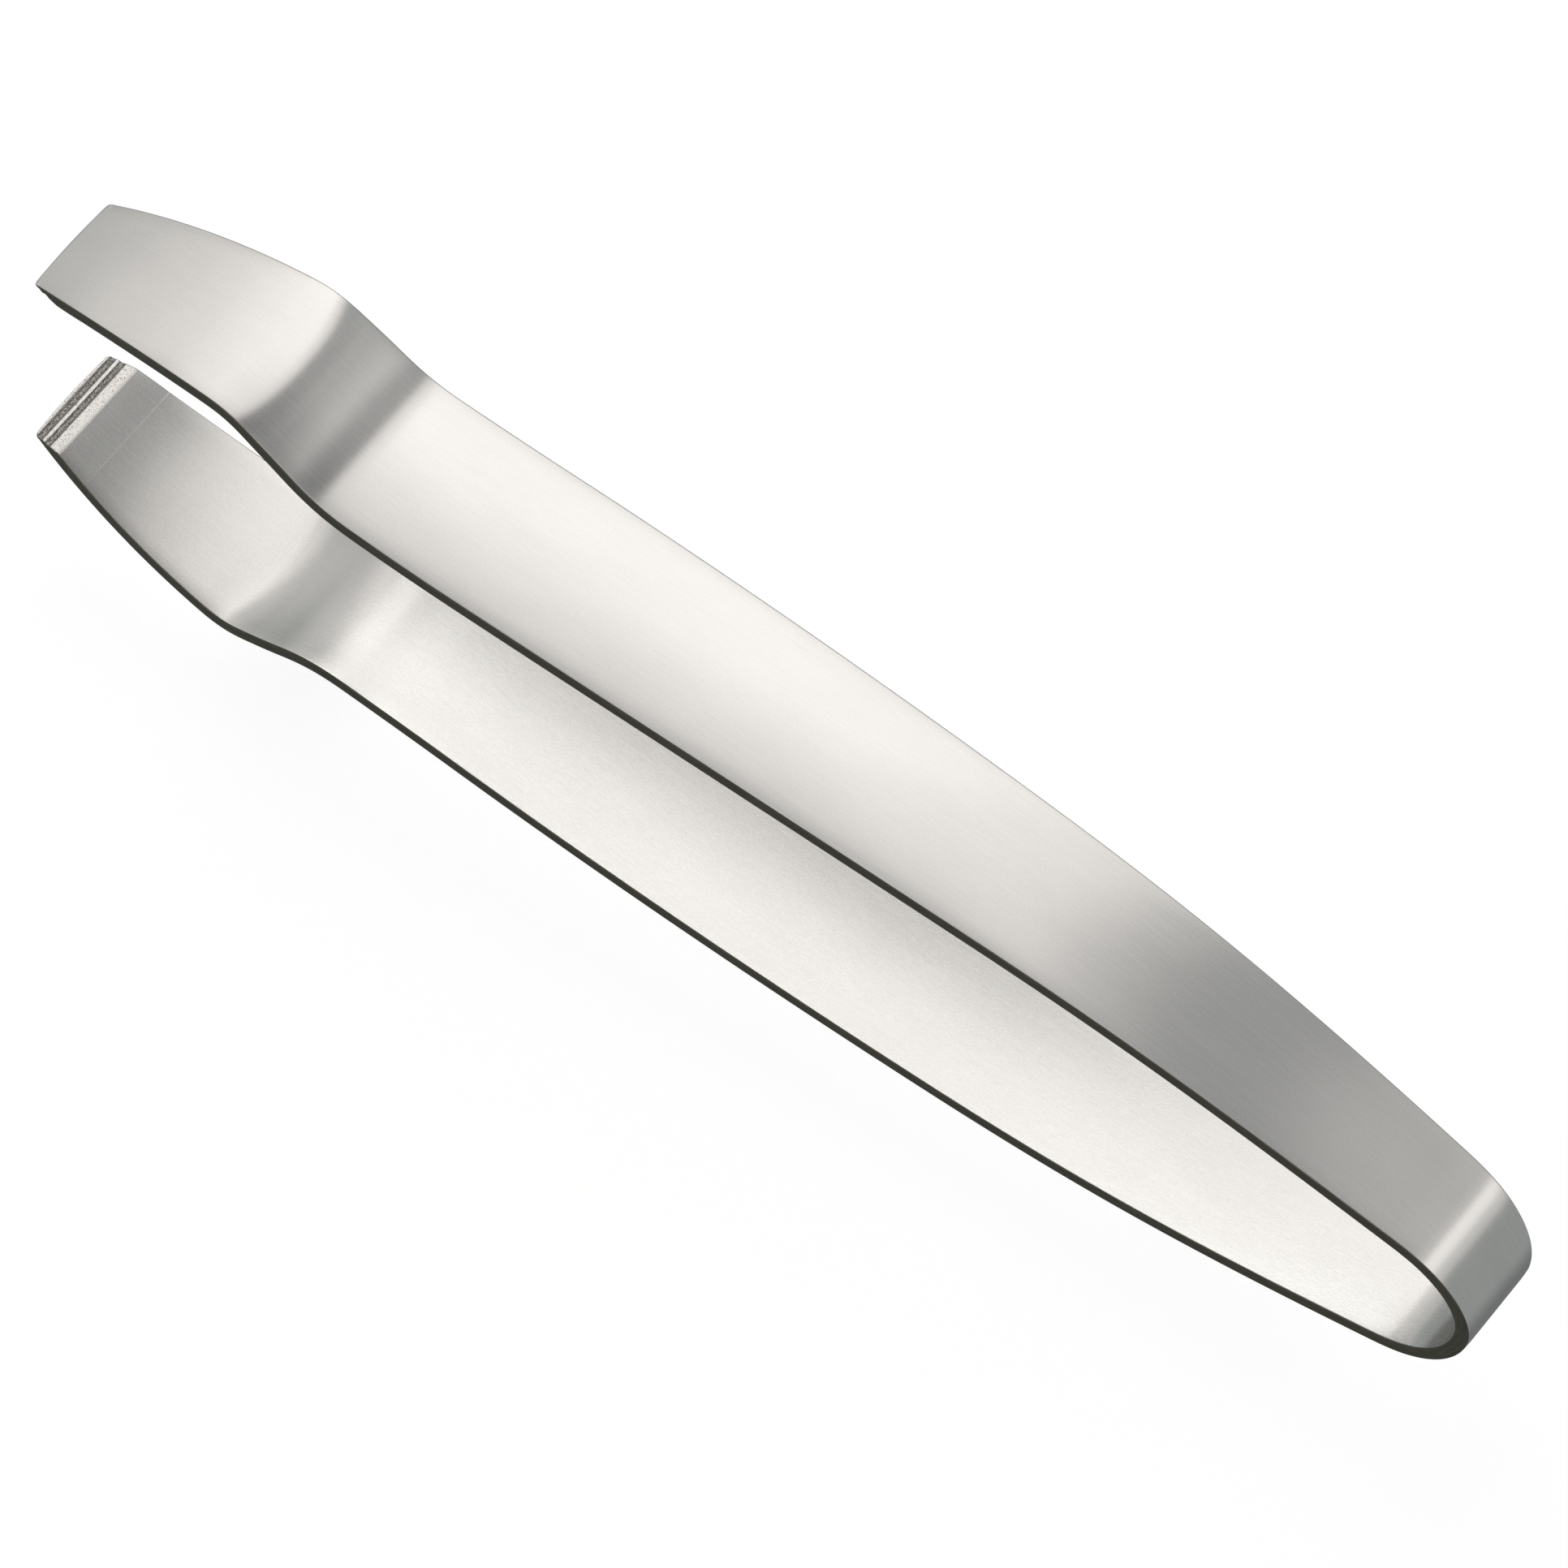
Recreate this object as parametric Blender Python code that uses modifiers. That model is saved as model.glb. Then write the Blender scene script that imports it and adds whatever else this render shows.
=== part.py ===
"""Fish bone tweezers: one strip of spring steel, bent round a bow into two arms with gripping jaws.

The strip is modelled in five lengths that meet edge to edge: the bow, which bends when the tweezers are
squeezed, an arm on each side of it, which swings, and a jaw at the end of each arm. The tweezers lie on
their lower arm with the floor at Z = 0, the jaws towards -X and the bow towards +X.
"""

import math
from collections import namedtuple

import bmesh
import bpy
import numpy as np
from mathutils import Matrix, Vector

MM = 0.001

# The flat strip. A station is a distance along the middle of the sheet, from the middle of the bow.
SHEET_THICKNESS = 1.35 * MM
STRIP_LENGTH = 141.0 * MM
BOW_HALF_WIDTH = 4.1 * MM
WIDEST_STATION = 95.0 * MM
WIDEST_HALF_WIDTH = 7.2 * MM
TIP_HALF_WIDTH = 4.6 * MM
ARM_TAPER = 1.75
JAW_TAPER = 3.0

# The bow is an arc from its middle to this station. Its turn runs out softly over the last degrees.
BOW_ARC = 10.7 * MM
BOW_TURN = 77.5
BOW_RUN_OUT = 16.0

# The other bends of an arm, in degrees. A positive turn leans the strip in, towards the other arm.
Bend = namedtuple("Bend", "start end turn eased")
SHOULDER = Bend(12.0 * MM, 54.0 * MM, 10.0, True)
LONG_CURVE = Bend(32.0 * MM, 96.0 * MM, 5.5, False)
NECK_LEAD = Bend(97.0 * MM, 108.0 * MM, -3.5, False)
NECK = Bend(105.0 * MM, 119.0 * MM, -38.5, True)
CREASE = Bend(114.0 * MM, 123.0 * MM, 43.5, True)
JAW_CURL = Bend(119.5 * MM, STRIP_LENGTH, 20.5, False)
BENDS = (SHOULDER, LONG_CURVE, NECK_LEAD, NECK, CREASE, JAW_CURL)

# Where the strip is divided, and the gap that is left there.
HINGE_STATION = 12.0 * MM
JAW_STATION = 113.0 * MM
DIVIDING_GAP = 0.3 * MM

# The inner side of each tip is ground to a bevel, with grooves across it that grip a bone.
BEVEL_LENGTH = 2.1 * MM
TIP_THICKNESS = 0.25 * MM
GROOVE_SHARES = (0.26, 0.60)
GROOVE_RADIUS = 0.30 * MM
GROOVE_DEPTH = 0.18 * MM
GROOVE_SIDES = 16
CUTTER_LENGTH = 4.0 * MM
CUTTER_WIDTH = 20.0 * MM
CUTTER_HEIGHT = 3.0 * MM

# How finely the bent sheet is divided into flat facets, and how often its resting tilt is worked out
# again from the points that touch the floor.
TURN_PER_FACET = 6.0
LENGTH_PER_FACET = 8.0 * MM
TABLE_STEP = 0.1 * MM
TILT_ROUNDS = 8

Finish = namedtuple("Finish", "colour roughness")
BOW_FINISH = Finish((0.56, 0.56, 0.57, 1.0), 0.30)
ARM_FINISH = Finish((0.66, 0.65, 0.64, 1.0), 0.28)
JAW_FINISH = Finish((0.62, 0.61, 0.60, 1.0), 0.34)


def clear_scene():
    for thing in list(bpy.data.objects):
        bpy.data.objects.remove(thing, do_unlink=True)


def new_collection(name):
    collection = bpy.data.collections.new(name)
    bpy.context.scene.collection.children.link(collection)
    return collection


def steel(name, finish):
    material = bpy.data.materials.new(name)
    material.use_nodes = True
    shader = material.node_tree.nodes["Principled BSDF"]
    shader.inputs["Base Color"].default_value = finish.colour
    shader.inputs["Metallic"].default_value = 1.0
    shader.inputs["Roughness"].default_value = finish.roughness
    return material


def half_width(station):
    """Half the strip's width: it swells from the bow to the widest place and narrows to the tip."""
    along = abs(station)
    if along < WIDEST_STATION:
        share = (1.0 - along / WIDEST_STATION) ** ARM_TAPER
        return WIDEST_HALF_WIDTH - (WIDEST_HALF_WIDTH - BOW_HALF_WIDTH) * share
    share = ((along - WIDEST_STATION) / (STRIP_LENGTH - WIDEST_STATION)) ** JAW_TAPER
    return WIDEST_HALF_WIDTH - (WIDEST_HALF_WIDTH - TIP_HALF_WIDTH) * share


def soft_least(one, other, softness):
    """The smaller of two values, rounded off where they are within the softness of each other."""
    nearness = max(softness - abs(one - other), 0.0) / softness
    return min(one, other) - nearness**3 * softness / 6.0


def bend_share(bend, station):
    """How much of a bend lies before a station, from 0 to 1."""
    share = min(max((station - bend.start) / (bend.end - bend.start), 0.0), 1.0)
    return share * share * (3.0 - 2.0 * share) if bend.eased else share


def heading(station):
    """The strip's direction in radians: 0 is straight up, a quarter turn is along -X."""
    along = abs(station)
    turn = soft_least(BOW_TURN * along / BOW_ARC, BOW_TURN, BOW_RUN_OUT)
    turn += sum(bend.turn * bend_share(bend, along) for bend in BENDS)
    return math.copysign(math.radians(turn), station)


def middle_line():
    """Stations and the bent sheet's middle at each, added up in small steps from the bow's middle."""
    stations = np.linspace(0.0, STRIP_LENGTH, round(STRIP_LENGTH / TABLE_STEP) + 1)
    headings = np.array([heading(station) for station in stations])
    steps = np.stack([-np.sin(headings), np.cos(headings)])
    moves = (steps[:, 1:] + steps[:, :-1]) / 2.0 * np.diff(stations)
    places = np.concatenate([np.zeros((2, 1)), np.cumsum(moves, axis=1)], axis=1)
    return stations, places[0], places[1]


TABLE_STATIONS, TABLE_X, TABLE_Z = middle_line()


def outward(station):
    """The direction out of the sheet's outer face."""
    return Vector((math.cos(heading(station)), 0.0, math.sin(heading(station))))


def sheet_point(station, depth=0.0):
    """A point of the bent strip's middle plane. Stations below 0 are on the lower arm."""
    x = float(np.interp(abs(station), TABLE_STATIONS, TABLE_X))
    z = float(np.interp(abs(station), TABLE_STATIONS, TABLE_Z))
    return Vector((x, 0.0, math.copysign(z, station))) + outward(station) * depth


def lowest_at(tilt, points):
    """The point that is lowest once all are tilted about Y."""
    return min(points, key=lambda point: point.z * math.cos(tilt) - point.x * math.sin(tilt))


def resting_place():
    """Where the bow's frame goes so that the lower arm's belly and crease both touch the floor."""
    face = [sheet_point(-station, SHEET_THICKNESS / 2.0) for station in TABLE_STATIONS]
    belly = [point for point, station in zip(face, TABLE_STATIONS) if station < NECK.start]
    jaw = [point for point, station in zip(face, TABLE_STATIONS) if station >= NECK.start]
    tilt = 0.0
    for _ in range(TILT_ROUNDS):
        run = lowest_at(tilt, belly) - lowest_at(tilt, jaw)
        tilt = math.atan2(run.z, run.x)
    turn = Matrix.Rotation(tilt, 4, "Y")
    mirrored = [Vector((point.x, 0.0, -point.z)) for point in face]
    placed = [turn @ point for point in face + mirrored]
    middle = (min(point.x for point in placed) + max(point.x for point in placed)) / 2.0
    floor = min(point.z for point in placed)
    return Matrix.Translation((-middle, 0.0, -floor)) @ turn


def facet_stations(first, last):
    """Stations from first to last, close together where the strip bends."""
    fine = np.linspace(first, last, round((last - first) / TABLE_STEP) + 1)
    turned = np.abs(np.diff([math.degrees(heading(station)) for station in fine]))
    effort = np.cumsum(turned / TURN_PER_FACET + np.diff(fine) / LENGTH_PER_FACET)
    effort = np.concatenate([[0.0], effort])
    facets = math.ceil(effort[-1])
    return np.interp(np.linspace(0.0, effort[-1], facets + 1), effort, fine)


def empty(name, place, parent, collection):
    holder = bpy.data.objects.new(name, None)
    holder.empty_display_size = 5.0 * MM
    holder.matrix_local = place
    holder.parent = parent
    collection.objects.link(holder)
    return holder


def sheet_length(name, first, last, pivot, finish, parent, collection):
    """The strip between two stations: its middle surface, given its thickness by Solidify."""
    stations = facet_stations(first, last)
    facets = len(stations) - 1
    form = bmesh.new()
    bmesh.ops.create_grid(form, x_segments=facets, y_segments=1, size=1.0)
    for vertex in form.verts:
        station = stations[round((vertex.co.x + 1.0) / 2.0 * facets)]
        across = math.copysign(half_width(station), vertex.co.y)
        vertex.co = sheet_point(station) + Vector((0.0, across, 0.0)) - pivot
    mesh = bpy.data.meshes.new(name)
    form.to_mesh(mesh)
    form.free()
    mesh.materials.append(steel(name + "_steel", finish))
    piece = bpy.data.objects.new(name, mesh)
    piece.parent = parent
    collection.objects.link(piece)
    thickness = piece.modifiers.new("Sheet", "SOLIDIFY")
    thickness.thickness = SHEET_THICKNESS
    thickness.offset = 0.0
    thickness.use_even_offset = True
    return piece


def bevel_frame(side):
    """A frame on the tip's bevel: X along it from the tip, Z out of it, origin at the tip's thin edge."""
    tip = side * STRIP_LENGTH
    back = side * (STRIP_LENGTH - BEVEL_LENGTH)
    thin_edge = sheet_point(tip, SHEET_THICKNESS / 2.0 - TIP_THICKNESS)
    along = sheet_point(back, -SHEET_THICKNESS / 2.0) - thin_edge
    slope = along.length
    x_axis = along.normalized()
    z_axis = Vector((0.0, 1.0, 0.0)).cross(x_axis) * side
    y_axis = z_axis.cross(x_axis)
    turn = Matrix((x_axis, y_axis, z_axis)).transposed().to_4x4()
    return Matrix.Translation(thin_edge) @ turn, slope


def cutter(name, place, parent, collection):
    """The primitive that was added last, placed as a cutter."""
    tool = bpy.context.object
    tool.name = name
    tool.matrix_local = place
    tool.parent = parent
    tool.hide_render = True
    tool.display_type = "WIRE"
    for other in list(tool.users_collection):
        other.objects.unlink(tool)
    collection.objects.link(tool)
    return tool


def cut(piece, tool):
    trim = piece.modifiers.new(tool.name, "BOOLEAN")
    trim.operation = "DIFFERENCE"
    trim.object = tool


def grind_tip(jaw, side, pivot, parent, cutters):
    """Grinds the bevel and its grooves into the inner side of a jaw's tip."""
    frame, slope = bevel_frame(side)
    frame = Matrix.Translation(-pivot) @ frame
    size = Matrix.Diagonal((CUTTER_LENGTH, CUTTER_WIDTH, CUTTER_HEIGHT, 1.0))
    bpy.ops.mesh.primitive_cube_add(size=1.0)
    wheel = Matrix.Translation((slope / 2.0, 0.0, CUTTER_HEIGHT / 2.0)) @ size
    cut(jaw, cutter(jaw.name + "_bevel", frame @ wheel, parent, cutters))
    for number, share in enumerate(GROOVE_SHARES, 1):
        bpy.ops.mesh.primitive_cylinder_add(
            vertices=GROOVE_SIDES, radius=GROOVE_RADIUS, depth=CUTTER_WIDTH
        )
        centre = Vector((slope * share, 0.0, GROOVE_RADIUS - GROOVE_DEPTH))
        lying = Matrix.Translation(centre) @ Matrix.Rotation(math.radians(90.0), 4, "X")
        cut(jaw, cutter(f"{jaw.name}_groove_{number}", frame @ lying, parent, cutters))


def make_bow(frame, parts):
    end = HINGE_STATION - DIVIDING_GAP / 2.0
    return sheet_length("spring_bow", -end, end, Vector(), BOW_FINISH, frame, parts)


def make_arm_and_jaw(name, side, frame, parts, cutters):
    """An arm and its jaw, on an empty at the place where the arm flexes."""
    pivot = sheet_point(side * HINGE_STATION)
    hinge = empty(name + "_arm_flex", Matrix.Translation(pivot), frame, parts)
    gap = DIVIDING_GAP / 2.0
    arm_ends = sorted((side * (HINGE_STATION + gap), side * (JAW_STATION - gap)))
    jaw_ends = sorted((side * (JAW_STATION + gap), side * STRIP_LENGTH))
    sheet_length(name + "_arm", *arm_ends, pivot, ARM_FINISH, hinge, parts)
    jaw = sheet_length(name + "_jaw", *jaw_ends, pivot, JAW_FINISH, hinge, parts)
    grind_tip(jaw, side, pivot, hinge, cutters)


def main():
    clear_scene()
    parts = new_collection("fish_bone_tweezers")
    cutters = new_collection("cutters")
    frame = empty("resting_place", resting_place(), None, parts)
    make_bow(frame, parts)
    make_arm_and_jaw("upper", 1, frame, parts, cutters)
    make_arm_and_jaw("lower", -1, frame, parts, cutters)
    bpy.context.view_layer.update()


main()
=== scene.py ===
# %% [markdown]
# # Fish bone tweezers
#
# These tweezers are one strip of spring steel. It is cut to a long leaf-like outline, its two ends are ground
# to a grooved bevel, and it is then pressed round a bow into two arms with gripping jaws. The script makes it
# in the same order as the workshop does: cut the flat strip, grind the tips, press it, finish the surfaces.
#
# The imported CAD model is loaded first. It fixes where the object lies, how long each part of it is and what
# swings when the tweezers are squeezed, so every piece that is made here is laid over it, and the bow and the
# jaws ride on it.

import math
from collections import namedtuple

import bmesh
import bpy
import numpy as np
from mathutils import Matrix, Vector


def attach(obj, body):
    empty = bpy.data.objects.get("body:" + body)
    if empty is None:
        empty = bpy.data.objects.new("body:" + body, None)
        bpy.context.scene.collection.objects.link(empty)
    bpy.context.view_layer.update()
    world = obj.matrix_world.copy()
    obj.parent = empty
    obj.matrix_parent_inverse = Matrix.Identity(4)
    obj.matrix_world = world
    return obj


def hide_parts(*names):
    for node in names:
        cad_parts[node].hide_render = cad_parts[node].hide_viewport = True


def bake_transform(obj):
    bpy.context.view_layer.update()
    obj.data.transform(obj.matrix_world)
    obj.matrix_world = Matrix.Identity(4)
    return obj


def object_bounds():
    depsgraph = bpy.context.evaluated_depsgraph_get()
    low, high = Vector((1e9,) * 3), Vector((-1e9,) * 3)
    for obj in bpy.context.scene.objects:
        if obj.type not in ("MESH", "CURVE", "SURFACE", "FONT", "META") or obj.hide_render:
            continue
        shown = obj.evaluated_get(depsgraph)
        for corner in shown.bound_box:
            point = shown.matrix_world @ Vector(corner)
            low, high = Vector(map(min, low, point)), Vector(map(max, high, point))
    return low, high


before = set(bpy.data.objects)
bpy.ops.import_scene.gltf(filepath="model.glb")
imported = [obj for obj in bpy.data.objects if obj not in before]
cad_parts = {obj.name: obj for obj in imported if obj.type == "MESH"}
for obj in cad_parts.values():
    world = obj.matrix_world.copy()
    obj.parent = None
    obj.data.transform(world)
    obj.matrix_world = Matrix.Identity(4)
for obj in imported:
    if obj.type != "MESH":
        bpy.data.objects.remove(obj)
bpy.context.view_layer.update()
MM = 0.001


def in_mm(values):
    return [round(value / MM, 2) for value in values]


print("CAD nodes:", ", ".join(sorted(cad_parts)))

# %% [markdown]
# ## The outline of the flat strip
#
# Every place on the strip is given by its station, the distance along the sheet from the middle of the bow.
# Stations above 0 are on the upper arm and those below 0 on the lower one. The outline swells from a narrow
# bow to its widest place near the jaws and closes in again towards the tip, whose corners are filed round.
#
# The outline could be drawn as a curve with handles. A rule is shorter and has no flat spots: a power of the
# distance to the widest place gives both sides of the swelling, and the same rule serves all four sides.

# %% The strip's sizes and its outline
SHEET_THICKNESS = 1.35 * MM
STRIP_LENGTH = 141.2 * MM
BOW_HALF_WIDTH = 4.1 * MM
WIDEST_STATION = 95.0 * MM
WIDEST_HALF_WIDTH = 7.2 * MM
TIP_HALF_WIDTH = 4.6 * MM
ARM_TAPER = 1.75
JAW_TAPER = 3.0
TIP_CORNER = 0.35 * MM


def rounding(past, radius):
    """How far a rounded corner draws in, at a distance past the place where its rounding begins."""
    past = min(max(past, 0.0), radius)
    return radius - math.sqrt(radius**2 - past**2)


def half_width(station):
    """Half the strip's width at a station."""
    along = abs(station)
    if along < WIDEST_STATION:
        share = (1.0 - along / WIDEST_STATION) ** ARM_TAPER
        return WIDEST_HALF_WIDTH - (WIDEST_HALF_WIDTH - BOW_HALF_WIDTH) * share
    share = ((along - WIDEST_STATION) / (STRIP_LENGTH - WIDEST_STATION)) ** JAW_TAPER
    width = WIDEST_HALF_WIDTH - (WIDEST_HALF_WIDTH - TIP_HALF_WIDTH) * share
    return width - rounding(along - (STRIP_LENGTH - TIP_CORNER), TIP_CORNER)


for station in (0.0, 50.0, 95.0, 120.0, 140.0):
    print(f"width at station {station:5.1f} mm: {2.0 * half_width(station * MM) / MM:5.2f} mm")

# %% [markdown]
# ## The ground tip
#
# The last two and a half millimetres of the inner face are ground to a bevel, so that the tips close along a
# thin edge. Two rough grooves run across the bevel. They keep a slippery bone from sliding out. The tool that
# holds the tip leaves a faint line across the inner face, and between line and bevel a swelling of a few
# hundredths of a millimetre. Neither could be felt with a finger, but polished steel shows both.
#
# Booleans with cylinders would cut the grooves, but they leave long thin triangles that shade badly. The
# inner face here is a depth that depends on the station alone, so bevel and grooves are one profile, and the
# mesh only needs rows close enough together to follow it.

# %% The profile of the bevel and its grooves
BEVEL_LENGTH = 2.44 * MM
BEVEL_BLEND = 0.4 * MM
TIP_THICKNESS = 0.25 * MM
TIP_NOSE = 0.09 * MM
GROOVES = ((0.13 * MM, 0.68 * MM), (0.91 * MM, 1.46 * MM))
GROOVE_DEPTH = 0.17 * MM
GROOVE_SQUARENESS = 2.4
SWELLING = (2.5 * MM, 5.35 * MM)
SWELLING_HEIGHT = 0.035 * MM
TOOL_LINE = (5.40 * MM, 5.65 * MM)
TOOL_LINE_HEIGHT = 0.004 * MM
HUMP_SQUARENESS = 2.0


def hump(place, ends, squareness):
    """A rounded hump between two ends: 0 at both of them and outside, 1 in the middle."""
    near, far = ends
    if not near < place < far:
        return 0.0
    return 1.0 - abs((2.0 * place - near - far) / (far - near)) ** squareness


def groove_cut(station):
    """How deep a groove is at a station, from 0 on the lands to 1 at its bottom."""
    from_tip = STRIP_LENGTH - abs(station)
    return sum(hump(from_tip, groove, GROOVE_SQUARENESS) for groove in GROOVES)


def bevel_rise(station):
    """How far the bevel has risen at a station. It starts softly, as a belt grinds it."""
    past = max(BEVEL_LENGTH - (STRIP_LENGTH - abs(station)), 0.0)
    ramp = past**2 / (2.0 * BEVEL_BLEND) if past < BEVEL_BLEND else past - BEVEL_BLEND / 2.0
    return (SHEET_THICKNESS - TIP_THICKNESS) * ramp / (BEVEL_LENGTH - BEVEL_BLEND / 2.0)


def face_depths(station):
    """The heights of the outer and the inner face over the middle of the sheet."""
    outer = SHEET_THICKNESS / 2.0
    from_tip = STRIP_LENGTH - abs(station)
    swelling = SWELLING_HEIGHT * hump(from_tip, SWELLING, HUMP_SQUARENESS)
    line = TOOL_LINE_HEIGHT * hump(from_tip, TOOL_LINE, HUMP_SQUARENESS)
    inner = -outer + bevel_rise(station) + GROOVE_DEPTH * groove_cut(station) - swelling - line
    nose = rounding(TIP_NOSE - from_tip, TIP_NOSE)
    return outer - nose, inner + nose


for from_tip in (0.0, 0.44, 0.82, 1.24, 2.0, 4.0, 6.0):
    outer, inner = face_depths(STRIP_LENGTH - from_tip * MM)
    print(f"{from_tip:4.2f} mm from the tip the steel is {(outer - inner) / MM:4.2f} mm thick")

# %% [markdown]
# ## The cut edge
#
# A punch leaves its mark on the strip: the face rolls over a little before it meets the cut, and the corner
# itself is tumbled round. Both are far too small to see as shapes, but light catches them, and a steel edge
# without them looks like paper.
#
# A Bevel modifier would round all edges alike, the tip's thin edge too. Here the section across the strip is
# worked out point by point. It is a ring in two halves, one over the outer face and one over the inner face,
# and both the roll and the corner radius shrink where the sheet gets thin.

# %% One section across the strip
CORNER_RADIUS = 0.13 * MM
ROLL_WIDTH = 1.1 * MM
ROLL_DEPTH = 0.045 * MM
THINNEST_ROLL_SHARE = 0.25
THINNEST_CORNER_SHARE = 0.7
FACE_COLUMNS = 24
CORNER_COLUMNS = 4


def half_section(width, height, corner):
    """(across, height) points over one face, from the side at -Y to the side at +Y."""
    rolled = min(ROLL_DEPTH, THINNEST_ROLL_SHARE * height)
    points = []
    for column in range(CORNER_COLUMNS):
        angle = math.radians(180.0 - 90.0 * column / CORNER_COLUMNS)
        points.append((
            corner - width + corner * math.cos(angle),
            height - rolled - corner + corner * math.sin(angle),
        ))
    for column in range(FACE_COLUMNS // 2):
        across = (corner - width) * math.cos(math.pi * column / FACE_COLUMNS)
        share = max(1.0 - (width - corner + across) / ROLL_WIDTH, 0.0)
        points.append((across, height - rolled * share**2))
    mirrored = [(-across, level) for across, level in reversed(points)]
    return points + [(0.0, height)] + mirrored


def section(station):
    """The ring of (across, depth) points round the strip at a station."""
    outer, inner = face_depths(station)
    middle = (outer + inner) / 2.0
    height = (outer - inner) / 2.0
    corner = min(CORNER_RADIUS, THINNEST_CORNER_SHARE * height)
    over = half_section(half_width(station), height, corner)
    return [(across, middle + level) for across, level in over] + [
        (across, middle - level) for across, level in reversed(over)
    ]


print("points round one section:", len(section(0.0)))

# %% [markdown]
# ## Rows along the strip
#
# The sections stand close together where the steel bends or its profile changes, and far apart on the long
# arms. The strip is made in the five lengths of the CAD model, so that the bow and the jaws can each ride on
# their own body. Where two lengths meet, both have a sliver of a row, which gives them the same shading
# normals at the joint, and the eye sees one strip.
#
# Each length is a row of rings, bridged by quads and closed at both ends. It also keeps what the press and
# the finishes need later: how deep the groove is and how far across each point lies, which finish each face
# gets, and a UV map whose U runs along the strip.

# %% Stations for the rows
HINGE_STATION = 12.0 * MM
JAW_STATION = 113.0 * MM
SLIVER = 0.02 * MM
CORNER_ROWS = (45.0, 60.0, 70.0, 77.0, 83.0, 87.0, 90.0)
Zone = namedtuple("Zone", "end spacing")
ZONES = (
    Zone(14.0 * MM, 0.25 * MM),
    Zone(104.0 * MM, 1.0 * MM),
    Zone(126.0 * MM, 0.15 * MM),
    Zone(135.5 * MM, 0.6 * MM),
    Zone(135.9 * MM, 0.04 * MM),
    Zone(138.6 * MM, 0.12 * MM),
    Zone(STRIP_LENGTH, 0.035 * MM),
)


def row_stations(first, last):
    """Stations of 0 and above from first to last, spaced as their zone asks."""
    rows = [first, first + SLIVER]
    for zone in ZONES:
        while rows[-1] + zone.spacing < min(zone.end, last) - SLIVER:
            rows.append(rows[-1] + zone.spacing)
    if last < STRIP_LENGTH:
        return rows + [last - SLIVER, last]
    corner = [STRIP_LENGTH - TIP_CORNER * (1.0 - math.sin(math.radians(angle))) for angle in CORNER_ROWS]
    return [row for row in rows if row < corner[0] - SLIVER] + corner


def on_lower_side(rows):
    return [-row for row in reversed(rows)]


bow_rows = row_stations(0.0, HINGE_STATION)
arm_rows = row_stations(HINGE_STATION, JAW_STATION)
jaw_rows = row_stations(JAW_STATION, STRIP_LENGTH)
LENGTHS = {
    "pressed_bow": on_lower_side(bow_rows[1:]) + bow_rows,
    "pressed_upper_arm": arm_rows,
    "pressed_upper_jaw": jaw_rows,
    "pressed_lower_arm": on_lower_side(arm_rows),
    "pressed_lower_jaw": on_lower_side(jaw_rows),
}
print("rows:", {name: len(rows) for name, rows in LENGTHS.items()})

# %% The flat mesh of one length
TIP_BULGE = 0.24 * MM
TIP_BULGE_LENGTH = 0.2 * MM
CUT_EDGE_LEAN = 0.5
OUTER_FACE_LEAN = 0.1
FACE, CUT_EDGE, BEVEL = 0, 1, 2


def blank_point(station, across, depth):
    """A point of the flat strip, which lies along X with the upper tip at -X. The tip's inner edge bulges."""
    past = max(abs(station) - (STRIP_LENGTH - TIP_BULGE_LENGTH), 0.0) / TIP_BULGE_LENGTH
    inwards = min(max((SHEET_THICKNESS / 2.0 - depth) / TIP_THICKNESS, 0.0), 1.0)
    pushed_out = TIP_BULGE * past * inwards * (1.0 - (across / TIP_HALF_WIDTH) ** 2)
    return Vector((-station - math.copysign(pushed_out, station), across, depth))


def finish_of(face):
    """Which finish a face of the flat strip gets, from the way it points and its place."""
    on_outer_nose = abs(face.normal.x) > CUT_EDGE_LEAN and face.normal.z > OUTER_FACE_LEAN
    if abs(face.normal.y) > CUT_EDGE_LEAN or on_outer_nose:
        return CUT_EDGE
    near_tip = abs(face.calc_center_median().x) > STRIP_LENGTH - BEVEL_LENGTH
    return BEVEL if near_tip and face.normal.z < OUTER_FACE_LEAN else FACE


def cut_blank(name, stations):
    """The flat mesh of one length: rings bridged by quads and closed by a ladder of quads at each end."""
    form = bmesh.new()
    groove = form.verts.layers.float.new("groove")
    across = form.verts.layers.float.new("across")
    finish = form.faces.layers.int.new("finish")
    strip_map = form.loops.layers.uv.new("strip_map")
    rings = [
        [form.verts.new(blank_point(station, *point)) for point in section(station)] for station in stations
    ]
    around = len(rings[0])
    for row, (ring, following) in enumerate(zip(rings, rings[1:])):
        for column in range(around):
            beside = (column + 1) % around
            face = form.faces.new((ring[column], ring[beside], following[beside], following[column]))
            face.smooth = True
            rows = (row, row, row + 1, row + 1)
            columns = (column, column + 1, column + 1, column)
            for corner, at_row, at_column in zip(face.loops, rows, columns):
                corner[strip_map].uv = (stations[at_row] / STRIP_LENGTH, at_column / around)
    for ring in (rings[0], rings[-1]):
        for step in range(around // 2 - 1):
            form.faces.new((ring[step], ring[step + 1], ring[-2 - step], ring[-1 - step]))
        for here, there in zip(ring, ring[1:] + ring[:1]):
            form.edges.get((here, there)).smooth = False
    bmesh.ops.recalc_face_normals(form, faces=form.faces)
    for face in form.faces:
        face[finish] = finish_of(face)
    for station, ring in zip(stations, rings):
        for vertex in ring:
            vertex[groove] = groove_cut(station)
            vertex[across] = vertex.co.y / half_width(station)
    mesh = bpy.data.meshes.new(name)
    form.to_mesh(mesh)
    form.free()
    return mesh


blanks = {name: cut_blank(name, rows) for name, rows in LENGTHS.items()}
for name, blank in blanks.items():
    print(f"{name}: {len(blank.polygons)} faces")

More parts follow.
